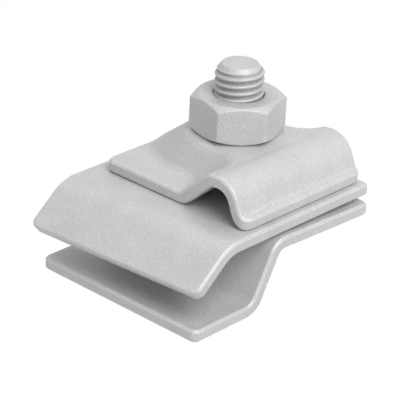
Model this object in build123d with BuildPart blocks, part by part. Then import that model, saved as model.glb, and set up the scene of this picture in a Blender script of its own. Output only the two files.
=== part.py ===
"""Pressed-steel clamp: three plates on one M10 bolt.

The lower two plates form a jaw for the edge of a sheet or gutter, and the cap plate
presses a round conductor into its groove.  Millimetres.  X runs along the conductor
groove, Z along the bolt, and the origin lies on the groove's axis level with the bolt.
"""
import os
from math import cos, radians, sin, sqrt, tan

from build123d import *

os.makedirs("parts", exist_ok=True)

# ---------------------------------------------------------------- sizes
sheet = 2.5                 # thickness of all three plates
edge_bevel = 0.4            # bevel along the stamped edges
groove_to_bolt = 12.9       # groove axis to bolt axis
bore = 11.0                 # bolt hole in every plate

# conductor groove in the cap
groove_radius = 3.3         # inside radius of the crest
groove_axis_height = 3.3    # crest centre above the middle plate
front_angle = 68.0          # slope of the outer wall
rear_angle = 43.0           # slope of the wall towards the bolt

# cap plate
cap_left = 19.8             # from the bolt axis
cap_right = 15.2
cap_front = 8.0             # from the groove axis to the flange edge
cap_rear = 17.4             # from the bolt axis
cap_corner = 2.2            # plan radius of the corners
nut_seat_drop = 0.15        # nut seat below the crest of the groove
boss_foot_radius = 13.4     # raised seat, where it meets the wing
boss_foot_y = 4.8           # its centre behind the bolt axis
boss_top_radius = 10.2       # raised seat, at the nut
boss_top_y = -0.3
boss_blend = 6.0            # plan radius between boss and groove wall
cap_top_fillet = 2.2
cap_foot_fillet = 2.2
flange_fillet = 1.4

# middle plate
mid_rear = 15.8             # from the bolt axis, along X
mid_flat = 24.0             # bolt axis to the start of the lip bend
lip_bend_radius = 9.0       # on the upper side
lip_angle = 40.0
lip_length = 8.2            # straight part of the lip
mid_near = 22.4             # half widths either side of the bolt
mid_far = 20.4
mid_corner = 0.9
lip_corner = 1.8
lip_skew = 3.8              # the bend runs this much out of square to the sides

# bottom plate
jaw_height = 12.1           # middle plate's underside to the lower flat
rear_gap = 0.3              # open gap under the middle plate, at the joggle
rear_slope = 2.0            # the rear flat falls away from the middle plate
base_rear = 15.2            # from the bolt axis, along X
base_bend = 13.1            # bolt axis to the upper bend of the joggle
base_front = 35.4
joggle_angle = 62.0
upper_bend_radius = 4.5     # on the upper side
lower_bend_radius = 2.5
base_near = 23.4
base_far = 18.6
base_corner = 1.6

# M10 x 30 hex bolt and nut
shank = 10.0
bolt_length = 29.6
flats = 17.0
head_height = 6.4
nut_height = 8.0
hex_chamfer = 30.0          # degrees, on the hexagon's corners
tip_chamfer = 1.4
nut_turned = -12.0          # nut's flats, degrees from the plate edges
nut_clearance = 0.05        # radial, nut bore on the shank
seat_clearance = 0.05       # between stacked plates, and under the nut

# ---------------------------------------------------------------- derived levels
mid_top = -groove_axis_height
mid_under = mid_top - sheet
cap_under = mid_top + seat_clearance
wing_top = cap_under + sheet
crest_radius = groove_radius + sheet
crest_top = crest_radius
nut_seat = crest_top - nut_seat_drop
bolt_y = groove_to_bolt
margin = 10.0               # the cap is pressed oversize, then cut to outline


def wall_y(angle, radius, z):
    """Distance from the groove axis, at height z, of a wall tangent to the crest."""
    return (radius - z * cos(radians(angle))) / sin(radians(angle))


def groove_block(radius, floor, seat):
    """Solid groove profile with a level top behind its crest, down to the floor."""
    a = radians(front_angle)
    y_seat = sqrt(radius**2 - seat**2)
    with BuildPart(mode=Mode.PRIVATE) as block:
        with BuildSketch(Plane.YZ.offset(-cap_left - margin)):
            with BuildLine():
                start = (-wall_y(front_angle, radius, floor), floor)
                touch = (-radius * sin(a), radius * cos(a))
                Line(start, touch)
                arc_mid = (-radius * sin(a / 2), radius * cos(a / 2))
                ThreePointArc(touch, arc_mid, (0, radius))
                ThreePointArc((0, radius), (radius * sin(0.5 * y_seat / radius),
                              radius * cos(0.5 * y_seat / radius)), (y_seat, seat))
                Polyline((y_seat, seat), (bolt_y + cap_rear + margin, seat),
                         (bolt_y + cap_rear + margin, floor), start)
            make_face()
        extrude(amount=cap_left + cap_right + 2 * margin)
    return block.part


def boss_outline(plane, level, inset_wall, inset_boss, radius, blend):
    """Plan outline of the raised area at a height given as a share of its rise."""
    y_front = -margin - cap_front
    side = cap_left + margin + 2
    wall = wall_at(level) - inset_wall
    big = radius - inset_boss
    cy = bolt_y + boss_foot_y + (boss_top_y - boss_foot_y) * level
    yb = wall + blend
    xb = sqrt((big + blend) ** 2 - (cy - yb) ** 2)
    k = big / (big + blend)
    tx, ty = xb * k, cy + (yb - cy) * k
    mx, my = (tx - xb), (ty - yb)
    # middle of the blend arc, between straight down and the touching point
    bx, by = mx / blend, my / blend - 1.0
    n = sqrt(bx * bx + by * by)
    bx, by = bx / n * blend, by / n * blend
    with BuildSketch(plane) as outline:
        with BuildLine():
            Line((side, wall), (xb, wall))
            ThreePointArc((xb, wall), (xb + bx, yb + by), (tx, ty))
            ThreePointArc((tx, ty), (0, cy + big), (-tx, ty))
            ThreePointArc((-tx, ty), (-xb - bx, yb + by), (-xb, wall))
            Polyline((-xb, wall), (-side, wall), (-side, y_front), (side, y_front),
                     (side, wall))
        make_face()
    return outline.sketch


rise = nut_seat - wing_top
foot_wall = wall_y(rear_angle, crest_radius, wing_top)
top_wall = wall_y(rear_angle, crest_radius, nut_seat)


def wall_at(level):
    return foot_wall + (top_wall - foot_wall) * level


def boss_block(low, high, drop, inset_wall, inset_boss, extra_blend):
    """Tapered body whose sides are the slopes of the raised area."""
    sections = []
    for level in (low, high):
        radius = boss_foot_radius + (boss_top_radius - boss_foot_radius) * level
        plane = Plane.XY.offset(wing_top + rise * level - drop)
        sections.append(boss_outline(plane, level, inset_wall, inset_boss, radius,
                                     boss_blend + extra_blend))
    return Solid.make_loft([s.faces()[0].outer_wire() for s in sections], ruled=True)


def stamped_edges(plate):
    """Sharp edges round the outline of a plate, without those of its bolt hole."""
    sharp = []
    for edge in plate.edges():
        middle = edge.position_at(0.5)
        if (middle - Vector(0, bolt_y, middle.Z)).length < bore:
            continue
        sides = [f for f in plate.faces() if any(edge.is_same(e) for e in f.edges())]
        if len(sides) == 2:
            a, b = (side.normal_at(middle) for side in sides)
            if a.dot(b) < 0.5:
                sharp.append(edge)
    return sharp


def hole_bar(z_low, z_high):
    """Bar the size of the bolt hole, to be cut from a plate."""
    with BuildPart(mode=Mode.PRIVATE) as bar:
        with BuildSketch(Plane.XY.offset(z_low)):
            with Locations((0, bolt_y)):
                Circle(bore / 2)
        extrude(amount=z_high - z_low)
    return bar.part


def strip(points, radii, y_low, y_high):
    """Bent strip: the upper line of its section, thickened downwards, then its width."""
    with BuildPart(mode=Mode.PRIVATE) as bent:
        with BuildSketch(Plane.XZ.offset(-y_high)):
            with BuildLine():
                FilletPolyline(*points, radius=radii)
                offset(amount=sheet, side=Side.LEFT)
            make_face()
        extrude(amount=y_high - y_low)
    return bent.part


# ---------------------------------------------------------------- cap plate
wall_inset = sheet * tan(radians(rear_angle) / 2)
boss_inset = sheet * tan(radians(26))

with BuildPart() as top_plate:
    # outside: level blank, raised groove and nut seat
    add(groove_block(crest_radius, cap_under, nut_seat))
    add(boss_block(-0.5, 1.3, 0, 0, 0, 0), mode=Mode.INTERSECT)
    with BuildSketch(Plane.XY.offset(cap_under)):
        with Locations(((cap_right - cap_left) / 2, (bolt_y + cap_rear - cap_front) / 2)):
            Rectangle(cap_left + cap_right + 2 * margin,
                      cap_front + bolt_y + cap_rear + 2 * margin)
    extrude(amount=sheet)

    def level_edges(z):
        return [e for e in top_plate.edges() if all(abs(e.position_at(t).Z - z) < 1e-4
                for t in (0, 0.5, 1))
                and -cap_left - margin < e.center().X < cap_right + margin - 0.1]

    seat_edges = [e for e in level_edges(nut_seat) if e.center().Y > top_wall - 0.1]
    fillet(seat_edges, cap_top_fillet)
    foot_edges = [e for e in level_edges(wing_top)
                  if e.center().Y > 0 and e.center().Y < bolt_y + cap_rear + margin / 2]
    fillet(foot_edges, cap_foot_fillet)
    flange_edges = [e for e in level_edges(wing_top) if -cap_front < e.center().Y < 0]
    fillet(flange_edges, flange_fillet)

    # inside: groove and the hollow under the nut seat, one sheet thickness away
    hollow = (groove_block(groove_radius, cap_under - 1, nut_seat - sheet)
              & boss_block(-0.5, 1.3, sheet, wall_inset, boss_inset, boss_inset))
    add(hollow, mode=Mode.SUBTRACT)
    fillet([e for e in level_edges(cap_under)
            if 0 < e.center().Y < bolt_y + cap_rear + margin / 2],
           cap_foot_fillet + 0.8 * sheet)
    fillet([e for e in level_edges(cap_under) if -cap_front - 0.5 < e.center().Y < 0],
           flange_fillet + sheet)

    # cut to outline, then the bolt hole
    with BuildSketch(Plane.XY.offset(cap_under - 1)):
        with Locations(((cap_right - cap_left) / 2, (bolt_y + cap_rear - cap_front) / 2)):
            RectangleRounded(cap_left + cap_right, cap_front + bolt_y + cap_rear,
                             cap_corner)
    extrude(amount=rise + sheet + 4, mode=Mode.INTERSECT)
    chamfer(stamped_edges(top_plate), edge_bevel)
    add(hole_bar(cap_under - 1, crest_top + 1), mode=Mode.SUBTRACT)
top_plate.part.label = "top_plate"


# ---------------------------------------------------------------- middle plate
a = radians(lip_angle)
bend_run = lip_bend_radius * tan(a / 2)
lip_apex = -mid_flat - bend_run
lip_run = bend_run + lip_length
lip_tip = (lip_apex - lip_run * cos(a), mid_top - lip_run * sin(a))
mid_width = mid_near + mid_far

with BuildPart() as middle_plate:
    # bent strip, turned about the bolt so that its bend is out of square, then sheared
    bent = strip([(mid_rear + margin, mid_top), (lip_apex, mid_top), lip_tip],
                 lip_bend_radius, -mid_width, mid_width)
    add(bent.rotate(Axis.Z, lip_skew).move(Location((0, bolt_y, 0))))
    with BuildSketch(Plane.XY.offset(mid_top + 1)):
        with Locations(((mid_rear + 2 * lip_tip[0]) / 2, bolt_y + (mid_far - mid_near) / 2)):
            Rectangle(mid_rear - 2 * lip_tip[0], mid_width)
    extrude(amount=2 * lip_tip[1], mode=Mode.INTERSECT)
    upright = middle_plate.edges().filter_by(Axis.Z).sort_by(Axis.X)
    fillet(upright[-2:], mid_corner)
    tips = [e for e in middle_plate.edges() if e.center().X < lip_tip[0] + 2 * sheet
            and e.geom_type == GeomType.LINE and e.length < 1.2 * sheet]
    fillet(tips, lip_corner)
    chamfer(stamped_edges(middle_plate), edge_bevel)
    add(hole_bar(mid_under - 1, mid_top + 1), mode=Mode.SUBTRACT)
middle_plate.part.label = "middle_plate"

# ---------------------------------------------------------------- bottom plate
joggle_top = mid_under - rear_gap          # upper face where the joggle starts
base_top = mid_under - jaw_height          # upper face of the lower flat
base_under = base_top - sheet
rear_fall = (base_rear + base_bend) * tan(radians(rear_slope))
joggle_run = (joggle_top - base_top) / tan(radians(joggle_angle))

with BuildPart() as bottom_plate:
    add(strip([(base_rear, joggle_top - rear_fall), (-base_bend, joggle_top),
               (-base_bend - joggle_run, base_top), (-base_front, base_top)],
              [upper_bend_radius, lower_bend_radius],
              bolt_y - base_near, bolt_y + base_far))
    ends = [e for e in bottom_plate.edges() if e.geom_type == GeomType.LINE
            and abs(e.length - sheet) < 1e-3
            and (e.center().X > base_rear - sheet or e.center().X < -base_front + 0.1)]
    fillet(ends, base_corner)
    chamfer(stamped_edges(bottom_plate), edge_bevel)
    add(hole_bar(base_under, mid_top), mode=Mode.SUBTRACT)
bottom_plate.part.label = "bottom_plate"

# ---------------------------------------------------------------- bolt and nut


def hexagon(z_low, height, turned):
    """Hexagon prism around the bolt, corners cut back by the chamfer at both ends."""
    corner = flats / sqrt(3)
    fall = (corner + 1 - 0.475 * flats) * tan(radians(hex_chamfer))
    with BuildPart(mode=Mode.PRIVATE) as prism:
        with BuildSketch(Plane.XY.offset(z_low)):
            with Locations((0, bolt_y)):
                RegularPolygon(flats / 2, 6, major_radius=False, rotation=30 + turned)
        extrude(amount=height)
        with BuildSketch(Plane(origin=(0, bolt_y, z_low), x_dir=(1, 0, 0),
                               z_dir=(0, -1, 0))):
            with BuildLine():
                Polyline((0, 0), (0.475 * flats, 0), (corner + 1, fall),
                         (corner + 1, height - fall), (0.475 * flats, height),
                         (0, height), close=True)
            make_face()
        revolve(axis=Axis((0, bolt_y, 0), (0, 0, 1)), mode=Mode.INTERSECT)
    return prism.part


def rear_under(x):
    """Underside of the bottom plate's rear flat."""
    slope = radians(rear_slope)
    return joggle_top - (x + base_bend) * tan(slope) - sheet / cos(slope)


head_top = rear_under(flats / sqrt(3)) - seat_clearance
bolt_end = head_top + bolt_length

with BuildPart() as hex_bolt:
    add(hexagon(head_top - head_height, head_height, 0))
    with BuildSketch(Plane.XY.offset(head_top - 1)):
        with Locations((0, bolt_y)):
            Circle(shank / 2)
    extrude(amount=bolt_length + 1)
    chamfer(hex_bolt.edges().group_by(Axis.Z)[-1], tip_chamfer)
hex_bolt.part.label = "hex_bolt"

nut_under = nut_seat + seat_clearance
with BuildPart() as hex_nut:
    add(hexagon(nut_under, nut_height, nut_turned))
    with BuildSketch(Plane.XY.offset(nut_under)):
        with Locations((0, bolt_y)):
            Circle(shank / 2 + nut_clearance)
    extrude(amount=nut_height, mode=Mode.SUBTRACT)
    chamfer(hex_nut.edges().filter_by(GeomType.CIRCLE)
            .filter_by(lambda e: abs(e.radius - shank / 2 - nut_clearance) < 1e-3), 0.6)
hex_nut.part.label = "hex_nut"

for piece in (bottom_plate, middle_plate, top_plate, hex_bolt, hex_nut):
    export_step(piece.part, "parts/" + piece.part.label + ".step")
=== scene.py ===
"""Bolted clamp of three galvanised steel plates: finishes, threaded bolt, nut and studio."""
from math import cos, pi, radians, sin, tan

import bpy
import numpy as np
from mathutils import Matrix, Vector


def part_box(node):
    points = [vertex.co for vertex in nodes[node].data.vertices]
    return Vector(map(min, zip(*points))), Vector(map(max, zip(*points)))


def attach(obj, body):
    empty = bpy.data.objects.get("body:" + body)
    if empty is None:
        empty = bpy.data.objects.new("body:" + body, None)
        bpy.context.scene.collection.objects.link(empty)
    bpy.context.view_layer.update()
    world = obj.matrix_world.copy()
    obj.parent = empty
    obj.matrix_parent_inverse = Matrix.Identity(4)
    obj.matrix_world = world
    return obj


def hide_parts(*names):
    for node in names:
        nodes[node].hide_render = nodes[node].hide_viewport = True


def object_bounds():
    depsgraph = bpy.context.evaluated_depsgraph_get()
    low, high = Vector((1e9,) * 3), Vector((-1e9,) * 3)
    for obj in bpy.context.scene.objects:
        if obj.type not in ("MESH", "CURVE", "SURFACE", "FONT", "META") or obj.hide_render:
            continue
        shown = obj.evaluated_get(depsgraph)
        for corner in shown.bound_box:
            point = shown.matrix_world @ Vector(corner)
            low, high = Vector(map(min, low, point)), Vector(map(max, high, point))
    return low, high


bl_info = {
    "name": "Bolted plate clamp",
    "version": (1, 0, 0),
    "blender": (4, 5, 0),
    "location": "View3D > Sidebar > Clamp",
    "description": "Galvanised plates, threaded bolt and nut of a conductor clamp",
    "category": "Add Mesh",
}

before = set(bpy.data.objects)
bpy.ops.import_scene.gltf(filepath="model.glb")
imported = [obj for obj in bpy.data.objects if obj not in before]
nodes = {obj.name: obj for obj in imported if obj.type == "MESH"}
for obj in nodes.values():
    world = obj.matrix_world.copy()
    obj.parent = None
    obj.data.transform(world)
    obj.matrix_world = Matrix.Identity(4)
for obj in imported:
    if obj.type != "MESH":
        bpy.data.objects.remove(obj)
cad_low, cad_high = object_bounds()
MM = 0.001

bolt_low, bolt_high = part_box("hex_bolt")
nut_low, nut_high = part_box("hex_nut")
BOLT_X = 0.5 * (bolt_low.x + bolt_high.x)
BOLT_Y = 0.5 * (bolt_low.y + bolt_high.y)

# Zinc coat, with its painted edge highlight and the painted shade in the thread's roots
MOTTLE = 0.20                        # how much darker than the coat its dark grains are
CLOUD, LUMP = 7 * MM, 1.2 * MM       # widths of the cloudy patches and of the lumps
CLOUD_SHARE = 0.22                   # share of the clouds in the mottling, the rest is grain
GRAIN_LIMITS = 0.36, 0.64            # noise where the coat is fully dark and fully light
EDGE_REACH, EDGE_SAMPLES = 0.45 * MM, 8
EDGE_LIMITS = 0.015, 0.12            # bend of the surface where the painted edge highlight starts and is full
EDGE_HIGHLIGHT, EDGE_HIGHLIGHT_GRAIN = 0.6, 0.9      # strength of the painted edge highlight, and what grain adds to it
SPLASH = 3.5, 14.5, 3.0              # middle of the specks from the cap's low corner, in mm
SPLASH_LIMITS = 0.8 * MM, 3.6 * MM   # distance where the specks start to thin and are gone
SPECK = 1.0 * MM                     # distance from speck to speck
SPECK_LIMITS = 0.34, 0.46            # from inside to outside of a speck
# painted shade in the thread's roots: the dark colour they are shaded towards
ROOT_SHADE_COLOUR = (0.12, 0.12, 0.12, 1.0)
ROOT_SHADE = 0.55                    # how far the painted shade in the thread's roots goes to that colour
METALLIC, ROUGHNESS = 0.2, 0.52
CLOUD_ROUGHNESS, GRAIN_ROUGHNESS = 0.25, 0.3
GRAIN_HEIGHT, LUMP_HEIGHT = 0.6, 0.8
BUMP_STRENGTH, BUMP_DEPTH = 0.6, 0.07 * MM

# Bolt and nut
BOLT_AROUND, NUT_AROUND = 144, 360   # points round the axis
THREAD_ROWS, SIDE_ROWS = 420, 16     # rows up the thread, and over one cut-back corner
ROOT_POWER = 1.4                     # above 1 the roots are narrower than the crests
CORNER_POWER = 90.0                  # the higher, the sharper are the hexagon's corners
CORNER_CONE = radians(30)
CORNER_ROOM = 1.05                   # rows go this much past the height of the cut
CONE_START, FACE_EDGE = 0.95, 0.93   # radii on the end faces, over that of the flats
HEAD_RADII = 0.3, 0.7, FACE_EDGE     # rows on the head's end face, over that of the flats
BEARING_RIM = 0.8 * MM               # from the thread's crests to the bearing face's row
END_ROWS = (0.99, 0), (0.97, 0), (0.9, 0), (0.5, 0.05)   # share of tip radius, drop in mm
END_EDGE = 0.02 * MM                 # height of the rounded edge of the bolt's end
MOUTH_WIDTH, MOUTH_DEPTH = 0.05 * MM, 0.03 * MM          # rounding of the bore's mouth

# Stage
SENSOR = 36.0                        # width of the camera's sensor in mm
CLIP = 0.01, 20.0                    # nearest and farthest that the camera sees
SHIFT = -0.08625, -0.0755            # of the lens across and up, over the picture's width
FLOOR = 4.0                          # half of the floor's width
PAPER = (0.7, 0.7, 0.7, 1)           # colour of the floor as the clamp sees it
LAMPS = (                            # name, place, width and share of the key lamp's power
    ("key", (-0.12, -0.47, 0.56), 0.50, 1.0),
    ("top", (0.15, 0.25, 0.68), 0.40, 0.12))


# ------------------------------------------------------------------ settings
class ClampZinc(bpy.types.PropertyGroup):
    """Colours and grain of the hot-dip zinc coat, and the colour of its painted edge highlight.
    """
    plate: bpy.props.FloatVectorProperty(
        name="Plate zinc", description="Colour of the zinc on the three plates",
        subtype="COLOR", size=3, min=0, max=1, default=(0.66, 0.662, 0.665))
    fastener: bpy.props.FloatVectorProperty(
        name="Fastener zinc", description="Colour of the zinc on bolt and nut",
        subtype="COLOR", size=3, min=0, max=1, default=(0.645, 0.647, 0.651))
    # bright is the colour of the painted edge highlight, and the real colour of the thick zinc
    # specks
    bright: bpy.props.FloatVectorProperty(
        name="Bright zinc", description="Colour where the coat is thick or rubbed bright",
        subtype="COLOR", size=3, min=0, max=1, default=(0.95, 0.95, 0.95))
    grain: bpy.props.FloatProperty(
        name="Grain", description="Width of the fine grain in the coat",
        default=0.34 * MM, min=0.05 * MM, unit="LENGTH")


class ClampThread(bpy.types.PropertyGroup):
    """Sizes of the rolled thread."""
    pitch: bpy.props.FloatProperty(
        name="Pitch", description="Rise of the thread in one turn",
        default=1.5 * MM, min=0.5 * MM, unit="LENGTH")
    crest: bpy.props.FloatProperty(
        name="Crest radius", description="Radius over the zinc-coated crests",
        default=5.0 * MM, min=1 * MM, unit="LENGTH")
    depth: bpy.props.FloatProperty(
        name="Depth", description="Depth of the thread under its crests",
        default=0.80 * MM, min=0.1 * MM, unit="LENGTH")
    head: bpy.props.FloatProperty(
        name="Head", description="Height of the hexagon head",
        default=6.4 * MM, min=1 * MM, unit="LENGTH")
    start: bpy.props.FloatProperty(
        name="Start", description="Where in a turn the thread begins", default=0.0)
    chamfer: bpy.props.FloatProperty(
        name="Chamfer", description="Half angle of the chamfered end",
        default=radians(38), subtype="ANGLE")
    tip: bpy.props.FloatProperty(
        name="Tip radius", description="Radius of the flat end of the bolt",
        default=3.65 * MM, min=0.5 * MM, unit="LENGTH")


class ClampNut(bpy.types.PropertyGroup):
    """Sizes of the nut."""
    flats: bpy.props.FloatProperty(
        name="Flats", description="Width across the flats",
        default=17.0 * MM, min=5 * MM, unit="LENGTH")
    turned: bpy.props.FloatProperty(
        name="Turned", description="Turn of the flats from the plate edges",
        default=radians(-12), subtype="ANGLE")
    bore: bpy.props.FloatProperty(
        name="Bore", description="Radius of the bore, just clear of the thread crests",
        default=5.05 * MM, min=1 * MM, unit="LENGTH")
    countersink: bpy.props.FloatProperty(
        name="Countersink", description="Depth of the countersink at both ends",
        default=0.25 * MM, min=0.05 * MM, unit="LENGTH")


class ClampStudio(bpy.types.PropertyGroup):
    """Camera, floor and lamps."""
    azimuth: bpy.props.FloatProperty(
        name="Azimuth", description="Direction of the camera round the clamp",
        default=radians(-48.88), subtype="ANGLE")
    elevation: bpy.props.FloatProperty(
        name="Elevation", description="Height of the camera over the clamp",
        default=radians(24.9), subtype="ANGLE")
    roll: bpy.props.FloatProperty(
        name="Roll", description="Turn of the camera about its own axis",
        default=radians(-3.16), subtype="ANGLE")
    distance: bpy.props.FloatProperty(
        name="Distance", description="Camera to the bolt hole of the middle plate",
        default=414.7 * MM, min=50 * MM, unit="LENGTH")
    lens: bpy.props.FloatProperty(
        name="Lens", description="Focal length in millimetres", default=184.03, min=20)
    backdrop: bpy.props.FloatVectorProperty(
        name="Backdrop", description="Colour of floor and backdrop as the camera sees it",
        subtype="COLOR", size=3, min=0, max=1, default=(1.0, 1.0, 1.0))
    key: bpy.props.FloatProperty(
        name="Key lamp", description="Power of the large lamp in front and above, in watts",
        default=4.2, min=0)
    fill: bpy.props.FloatProperty(
        name="Ambient", description="Strength of the even studio light",
        default=0.40, min=0)


# ------------------------------------------------------------------ shader maths
class Socket:
    """A shader value that can be used in Python expressions."""

    def __init__(self, tree, link):
        self.tree, self.link = tree, link

    def _join(self, operation, first, second):
        node = self.tree.nodes.new("ShaderNodeMath")
        node.operation = operation
        for slot, value in zip(node.inputs, (first, second)):
            if isinstance(value, Socket):
                self.tree.links.new(value.link, slot)
            else:
                slot.default_value = value
        return Socket(self.tree, node.outputs[0])

    def __add__(self, other):
        return self._join("ADD", self, other)

    def __radd__(self, other):
        return self._join("ADD", other, self)

    def __sub__(self, other):
        return self._join("SUBTRACT", self, other)

    def __rsub__(self, other):
        return self._join("SUBTRACT", other, self)

    def __mul__(self, other):
        return self._join("MULTIPLY", self, other)

    def __rmul__(self, other):
        return self._join("MULTIPLY", other, self)

    def larger(self, other):
        return self._join("MAXIMUM", self, other)

    def above(self, low, high):
        """0 below low, 1 above high, smooth between them."""
        node = self.tree.nodes.new("ShaderNodeMapRange")
        node.interpolation_type = "SMOOTHSTEP"
        node.clamp = True
        self.tree.links.new(self.link, node.inputs["Value"])
        node.inputs["From Min"].default_value = low
        node.inputs["From Max"].default_value = high
        return Socket(self.tree, node.outputs["Result"])


class Finish:
    """Node tree of one material."""

    def __init__(self, name):
        self.material = bpy.data.materials.new(name)
        self.material.use_nodes = True
        self.tree = self.material.node_tree
        self.shader = self.tree.nodes["Principled BSDF"]
        self.place = self.node("ShaderNodeTexCoord").outputs["Object"]

    def node(self, kind, settings=None, **values):
        """Add a node: its settings first, then a value or a link for each named socket."""
        made = self.tree.nodes.new(kind)
        for key, value in (settings or {}).items():
            setattr(made, key, value)
        for key, value in values.items():
            self.put(made.inputs[key.replace("_", " ")], value)
        return made

    def put(self, slot, value):
        if isinstance(value, Socket):
            self.tree.links.new(value.link, slot)
        elif isinstance(value, bpy.types.NodeSocket):
            self.tree.links.new(value, slot)
        else:
            slot.default_value = value

    def noise(self, width, detail=2.0, rough=0.5):
        """Cloudy noise whose patches are about width across, as a value near 0.5."""
        made = self.node("ShaderNodeTexNoise", Vector=self.place, Scale=1.0 / width,
                         Detail=detail, Roughness=rough)
        return Socket(self.tree, made.outputs["Fac"])

    def cells(self, width):
        """Distance to the nearest of scattered points about width apart."""
        made = self.node("ShaderNodeTexVoronoi", Vector=self.place, Scale=1.0 / width)
        return Socket(self.tree, made.outputs["Distance"])

    def blend(self, share, first, second):
        """Colour between first and second."""
        made = self.tree.nodes.new("ShaderNodeMix")
        made.data_type = "RGBA"
        self.put(made.inputs["Factor"], share)
        for slot, value in zip([i for i in made.inputs if i.type == "RGBA"],
                               (first, second)):
            self.put(slot, value)
        return [s for s in made.outputs if s.type == "RGBA"][0]


def zinc(name, colour, bright, grain, splash=None, root=0.0):
    """Matte hot-dip zinc: cloudy mottling, fine grain, a painted highlight along the edges, a
    cluster of bright specks round the point splash, and painted shade in the thread roots, as
    strong as the share root."""
    f = Finish(name)
    dark = tuple(c * (1 - MOTTLE) for c in colour) + (1.0,)
    cloud = f.noise(CLOUD, detail=3.0, rough=0.55)
    fine = f.noise(grain, detail=3.0, rough=0.7)
    light = (cloud * CLOUD_SHARE + fine * (1 - CLOUD_SHARE)).above(*GRAIN_LIMITS)
    tint = f.blend(light, dark, (*colour, 1.0))
    # painted shade: the thread's roots are darkened towards a dark colour
    if root:
        groove = f.node("ShaderNodeAttribute", {"attribute_name": "root"})
        tint = f.blend(Socket(f.tree, groove.outputs["Fac"]) * root, tint, ROOT_SHADE_COLOUR)
    # painted highlight: the colour is lightened along edges, where the bevel normal bends away
    # from the face's own
    soft = f.node("ShaderNodeBevel", {"samples": EDGE_SAMPLES}, Radius=EDGE_REACH)
    flat = f.node("ShaderNodeNewGeometry")
    facing = f.node("ShaderNodeVectorMath", {"operation": "DOT_PRODUCT"})
    f.put(facing.inputs[0], soft.outputs["Normal"])
    f.put(facing.inputs[1], flat.outputs["Normal"])
    edge = (1 - Socket(f.tree, facing.outputs["Value"])).above(*EDGE_LIMITS)
    edge_highlight_and_specks = edge * (EDGE_HIGHLIGHT + fine * EDGE_HIGHLIGHT_GRAIN)
    if splash:
        near = f.node("ShaderNodeVectorMath", {"operation": "DISTANCE"})
        f.put(near.inputs[0], f.place)
        near.inputs[1].default_value = splash
        patch = 1 - Socket(f.tree, near.outputs["Value"]).above(*SPLASH_LIMITS)
        edge_highlight_and_specks = edge_highlight_and_specks + (1 - f.cells(SPECK).above(*SPECK_LIMITS)) * patch
    # the painted edge highlight and the real zinc specks both lighten the colour towards bright
    f.put(f.shader.inputs["Base Color"], f.blend(edge_highlight_and_specks, tint, (*bright, 1.0)))
    f.shader.inputs["Metallic"].default_value = METALLIC
    f.put(f.shader.inputs["Roughness"], ROUGHNESS + (cloud - 0.5) * CLOUD_ROUGHNESS
          + (fine - 0.5) * GRAIN_ROUGHNESS)
    bump = f.node("ShaderNodeBump", Strength=BUMP_STRENGTH, Distance=BUMP_DEPTH,
                  Height=fine * GRAIN_HEIGHT + f.noise(LUMP) * LUMP_HEIGHT,
                  Normal=soft.outputs["Normal"])
    f.put(f.shader.inputs["Normal"], bump.outputs["Normal"])
    return f.material


# ------------------------------------------------------------------ surfaces
def ring_mesh(name, surface, close_ends=True):
    """Closed surface from rows of points round the bolt axis.

    surface is an array (rows, around, 3): neighbouring rows and neighbouring points in a
    row are joined by quads, each row closes on itself, and the first and last rows are
    closed by a fan to their centre, or joined to each other.
    """
    rows, around = surface.shape[:2]
    points = surface.reshape(-1, 3)
    i, j = np.meshgrid(np.arange(rows - 1), np.arange(around), indexing="ij")
    k = (j + 1) % around
    quads = np.stack([i * around + j, i * around + k, (i + 1) * around + k,
                      (i + 1) * around + j], -1).reshape(-1, 4)
    faces = [tuple(q) for q in quads.tolist()]
    edge = np.arange(around)
    nxt = (edge + 1) % around
    last = (rows - 1) * around
    if close_ends:
        ends = np.stack([surface[0].mean(0), surface[-1].mean(0)])
        a, b = len(points), len(points) + 1
        points = np.concatenate([points, ends])
        faces += np.stack([nxt, edge, np.full(around, a)], -1).tolist()
        faces += np.stack([last + edge, last + nxt, np.full(around, b)], -1).tolist()
    else:
        faces += np.stack([last + edge, last + nxt, nxt, edge], -1).tolist()
    mesh = bpy.data.meshes.new(name)
    mesh.from_pydata(points.tolist(), [], faces)
    mesh.shade_smooth()
    piece = bpy.data.objects.new(name, mesh)
    bpy.context.scene.collection.objects.link(piece)
    return piece


def hexagon(angle, apothem, turned):
    """Radius of a hexagon with slightly rounded corners in the direction of angle:
    the apothem over the high-power mean of the cosines to its six flats."""
    flats = turned + np.arange(6) * pi / 3
    c = np.maximum(np.cos(angle[:, None] - flats[None, :]), 0)
    return apothem / (c ** CORNER_POWER).sum(1) ** (1 / CORNER_POWER)


def hexagon_side(angle, apothem, turned, low, high):
    """Rows up the side of a hexagon whose corners are cut back at both ends: the smaller
    of the hexagon's radius and that of a cone of 30 degrees from each end face."""
    face = CONE_START * apothem
    cut = CORNER_ROOM * (apothem / cos(pi / 6) - face) * tan(CORNER_CONE)
    heights = np.concatenate([np.linspace(low, low + cut, SIDE_ROWS),
                              np.linspace(high - cut, high, SIDE_ROWS)])[:, None]
    cone = face + np.minimum(heights - low, high - heights) / tan(CORNER_CONE)
    return place(np.minimum(hexagon(angle, apothem, turned), cone), angle, heights)


def rings(angle, pairs):
    """Plain circles round the bolt axis, one for each pair of radius and height."""
    radius, height = np.array(pairs).T[:, :, None]
    return place(radius + 0 * angle, angle, height)


def place(radius, angle, height):
    """Points round the bolt axis from radius, angle and height."""
    return np.stack([BOLT_X + radius * np.cos(angle), BOLT_Y + radius * np.sin(angle),
                     height + 0 * radius], -1)


def thread_radius(angle, height, top, s):
    """Radius of the rolled thread: a raised cosine that climbs one pitch in a turn, with
    round crests and narrower roots, cut back by the cone of the chamfered end.

    The second result is how near each point is to a root: 0 on the crests and on the
    cone, 1 in the roots."""
    turn = height / s.pitch - angle / (2 * pi) - s.start
    groove = (0.5 + 0.5 * np.cos(2 * pi * turn)) ** ROOT_POWER
    cone = s.tip + (top - height) * tan(s.chamfer)
    wave = s.crest - s.depth * groove
    return np.minimum(wave, cone), groove * (cone > wave)


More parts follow.
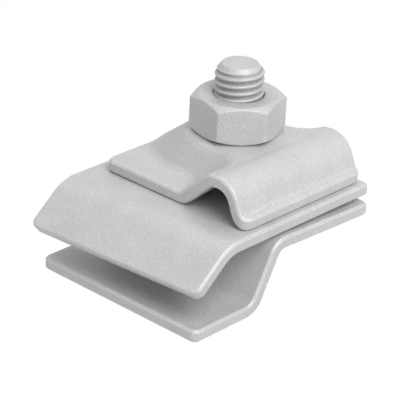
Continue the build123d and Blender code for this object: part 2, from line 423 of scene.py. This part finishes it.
class MESH_OT_clamp_plates(bpy.types.Operator):
    """Give the three bent plates their zinc coat"""
    bl_idname = "mesh.clamp_plates"
    bl_label = "Plates"

    def execute(self, context):
        z = context.scene.clamp_zinc
        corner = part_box("top_plate")[0]
        splash = tuple(start + offset * MM for start, offset in zip(corner, SPLASH))
        coat = zinc("plate_zinc", z.plate, z.bright, z.grain)
        cap_coat = zinc("cap_zinc", z.plate, z.bright, z.grain, splash=splash)
        for name, finish in (("bottom_plate", coat), ("middle_plate", coat),
                             ("top_plate", cap_coat)):
            node = nodes[name]
            node.data.materials.clear()
            node.data.materials.append(finish)
        return {"FINISHED"}


class MESH_OT_clamp_bolt(bpy.types.Operator):
    """Make the hexagon bolt with its rolled thread"""
    bl_idname = "mesh.clamp_bolt"
    bl_label = "Bolt"

    def execute(self, context):
        z, s = context.scene.clamp_zinc, context.scene.clamp_thread
        top = bolt_high.z
        apothem = 0.5 * (bolt_high.x - bolt_low.x)
        head_low = bolt_low.z
        head_top = head_low + s.head
        angle = np.linspace(0, 2 * pi, BOLT_AROUND, endpoint=False)
        under = rings(angle, [(apothem * share, head_low) for share in HEAD_RADII])
        head = hexagon_side(angle, apothem, 0.0, head_low, head_top)
        bearing = rings(angle, [(apothem * FACE_EDGE, head_top),
                                (s.crest + BEARING_RIM, head_top)])
        heights = np.linspace(head_top, top - END_EDGE, THREAD_ROWS)[1:, None]
        radius, root = thread_radius(angle, heights, top, s)
        threads = place(radius, angle, heights)
        end = rings(angle, [(s.tip * share, top - drop * MM) for share, drop in END_ROWS])
        bolt = ring_mesh("threaded_bolt",
                         np.concatenate([under, head, bearing, threads, end]))
        depth = bolt.data.attributes.new("root", "FLOAT", "POINT")
        share = np.zeros(len(bolt.data.vertices), dtype=np.float32)
        first = (len(under) + len(head) + len(bearing)) * len(angle)
        share[first:first + root.size] = root.ravel()
        depth.data.foreach_set("value", share)
        bolt.data.materials.append(
            zinc("bolt_zinc", z.fastener, z.bright, z.grain, root=ROOT_SHADE))
        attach(bolt, "base")
        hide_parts("hex_bolt")
        return {"FINISHED"}


class MESH_OT_clamp_nut(bpy.types.Operator):
    """Make the chamfered hexagon nut with its countersunk bore"""
    bl_idname = "mesh.clamp_nut"
    bl_label = "Nut"

    def execute(self, context):
        z, n = context.scene.clamp_zinc, context.scene.clamp_nut_sizes
        low, high = nut_low.z, nut_high.z
        apothem = 0.5 * n.flats
        angle = np.linspace(0, 2 * pi, NUT_AROUND, endpoint=False)
        side = hexagon_side(angle, apothem, n.turned, low, high)
        face = FACE_EDGE * apothem
        mouth = n.bore + n.countersink
        inside = rings(angle, [
            (face, high), (mouth + MOUTH_WIDTH, high), (mouth, high - MOUTH_DEPTH),
            (n.bore, high - n.countersink), (n.bore, high - 2 * n.countersink),
            (n.bore, low + 2 * n.countersink), (n.bore, low + n.countersink),
            (mouth, low + MOUTH_DEPTH), (mouth + MOUTH_WIDTH, low), (face, low)])
        nut = ring_mesh("chamfered_nut", np.concatenate([side, inside]), close_ends=False)
        nut.data.materials.append(zinc("nut_zinc", z.fastener, z.bright, z.grain))
        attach(nut, "nut")
        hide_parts("hex_nut")
        return {"FINISHED"}


def backdrop_rays(tree):
    """1 for the rays of camera, reflection and glass that show the backdrop, else 0."""
    path = tree.nodes.new("ShaderNodeLightPath")
    seen = [Socket(tree, path.outputs["Is " + ray + " Ray"])
            for ray in ("Camera", "Glossy", "Transmission")]
    return seen[0].larger(seen[1]).larger(seen[2])


def view_axes(s):
    """Camera axes: backwards from azimuth and elevation, then the roll about it."""
    a, e = s.azimuth, s.elevation
    back = Vector((sin(a) * cos(e), -cos(a) * cos(e), sin(e)))
    right = Vector((cos(a), sin(a), 0.0))
    up = back.cross(right)
    return (right * cos(s.roll) - up * sin(s.roll), right * sin(s.roll) + up * cos(s.roll),
            back)


class OBJECT_OT_clamp_stage(bpy.types.Operator):
    """Make the camera, the white floor and the soft lamps"""
    bl_idname = "object.clamp_stage"
    bl_label = "Stage"

    def execute(self, context):
        s = context.scene.clamp_studio
        scene = context.scene
        right, up, back = view_axes(s)
        middle_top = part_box("middle_plate")[1].z
        aim = Vector((BOLT_X, BOLT_Y, middle_top))
        data = bpy.data.cameras.new("camera")
        data.lens, data.sensor_width = s.lens, SENSOR
        data.clip_start, data.clip_end = CLIP
        data.shift_x, data.shift_y = SHIFT
        camera = bpy.data.objects.new("camera", data)
        camera.matrix_world = Matrix.Translation(aim + back * s.distance) @ Matrix(
            (right, up, back)).transposed().to_4x4()
        scene.collection.objects.link(camera)
        scene.camera = camera

        mesh = bpy.data.meshes.new("floor")
        mesh.from_pydata([(x * FLOOR, y * FLOOR, cad_low[2])
                          for x, y in ((-1, -1), (1, -1), (1, 1), (-1, 1))], [], [(0, 1, 2, 3)])
        floor = bpy.data.objects.new("floor", mesh)
        scene.collection.objects.link(floor)
        paper = bpy.data.materials.new("paper")
        paper.use_nodes = True
        tree = paper.node_tree
        tree.nodes.clear()
        out = tree.nodes.new("ShaderNodeOutputMaterial")
        plain = tree.nodes.new("ShaderNodeBsdfDiffuse")
        plain.inputs["Color"].default_value = PAPER
        glow = tree.nodes.new("ShaderNodeEmission")
        glow.inputs["Color"].default_value = (*s.backdrop, 1)
        mix = tree.nodes.new("ShaderNodeMixShader")
        tree.links.new(backdrop_rays(tree).link, mix.inputs[0])
        tree.links.new(plain.outputs[0], mix.inputs[1])
        tree.links.new(glow.outputs[0], mix.inputs[2])
        tree.links.new(mix.outputs[0], out.inputs[0])
        mesh.materials.append(paper)

        world = bpy.data.worlds.new("studio")
        world.use_nodes = True
        scene.world = world
        sky = world.node_tree.nodes["Background"].inputs
        sky["Color"].default_value = (*s.backdrop, 1)
        seen = backdrop_rays(world.node_tree)
        world.node_tree.links.new((s.fill + (1 - s.fill) * seen).link, sky["Strength"])

        for name, spot, width, share in LAMPS:
            lamp = bpy.data.lights.new(name, "AREA")
            lamp.size, lamp.energy = width, s.key * share
            thing = bpy.data.objects.new(name, lamp)
            thing.matrix_world = Matrix.Translation(spot) @ (
                Vector(spot) - aim).to_track_quat("Z", "Y").to_matrix().to_4x4()
            scene.collection.objects.link(thing)
        scene.view_settings.view_transform = "Standard"
        return {"FINISHED"}


class VIEW3D_PT_clamp(bpy.types.Panel):
    """Settings and steps of the clamp"""
    bl_label = "Clamp"
    bl_idname = "VIEW3D_PT_clamp"
    bl_space_type = "VIEW_3D"
    bl_region_type = "UI"
    bl_category = "Clamp"

    def draw(self, context):
        for group in GROUPS:
            box = self.layout.box()
            settings = getattr(context.scene, group)
            for key in settings.__annotations__:
                box.prop(settings, key)
        for step in STEPS:
            self.layout.operator(step.bl_idname)


GROUPS = {"clamp_zinc": ClampZinc, "clamp_thread": ClampThread, "clamp_nut_sizes": ClampNut,
          "clamp_studio": ClampStudio}
STEPS = (MESH_OT_clamp_plates, MESH_OT_clamp_bolt, MESH_OT_clamp_nut, OBJECT_OT_clamp_stage)


def register():
    for kind in (*GROUPS.values(), *STEPS, VIEW3D_PT_clamp):
        bpy.utils.register_class(kind)
    for name, kind in GROUPS.items():
        setattr(bpy.types.Scene, name, bpy.props.PointerProperty(type=kind))


def unregister():
    for name in GROUPS:
        delattr(bpy.types.Scene, name)
    for kind in reversed((*GROUPS.values(), *STEPS, VIEW3D_PT_clamp)):
        bpy.utils.unregister_class(kind)


def main():
    register()
    bpy.ops.mesh.clamp_plates()
    bpy.ops.mesh.clamp_bolt()
    bpy.ops.mesh.clamp_nut()
    bpy.ops.object.clamp_stage()


if __name__ == "__main__":
    main()
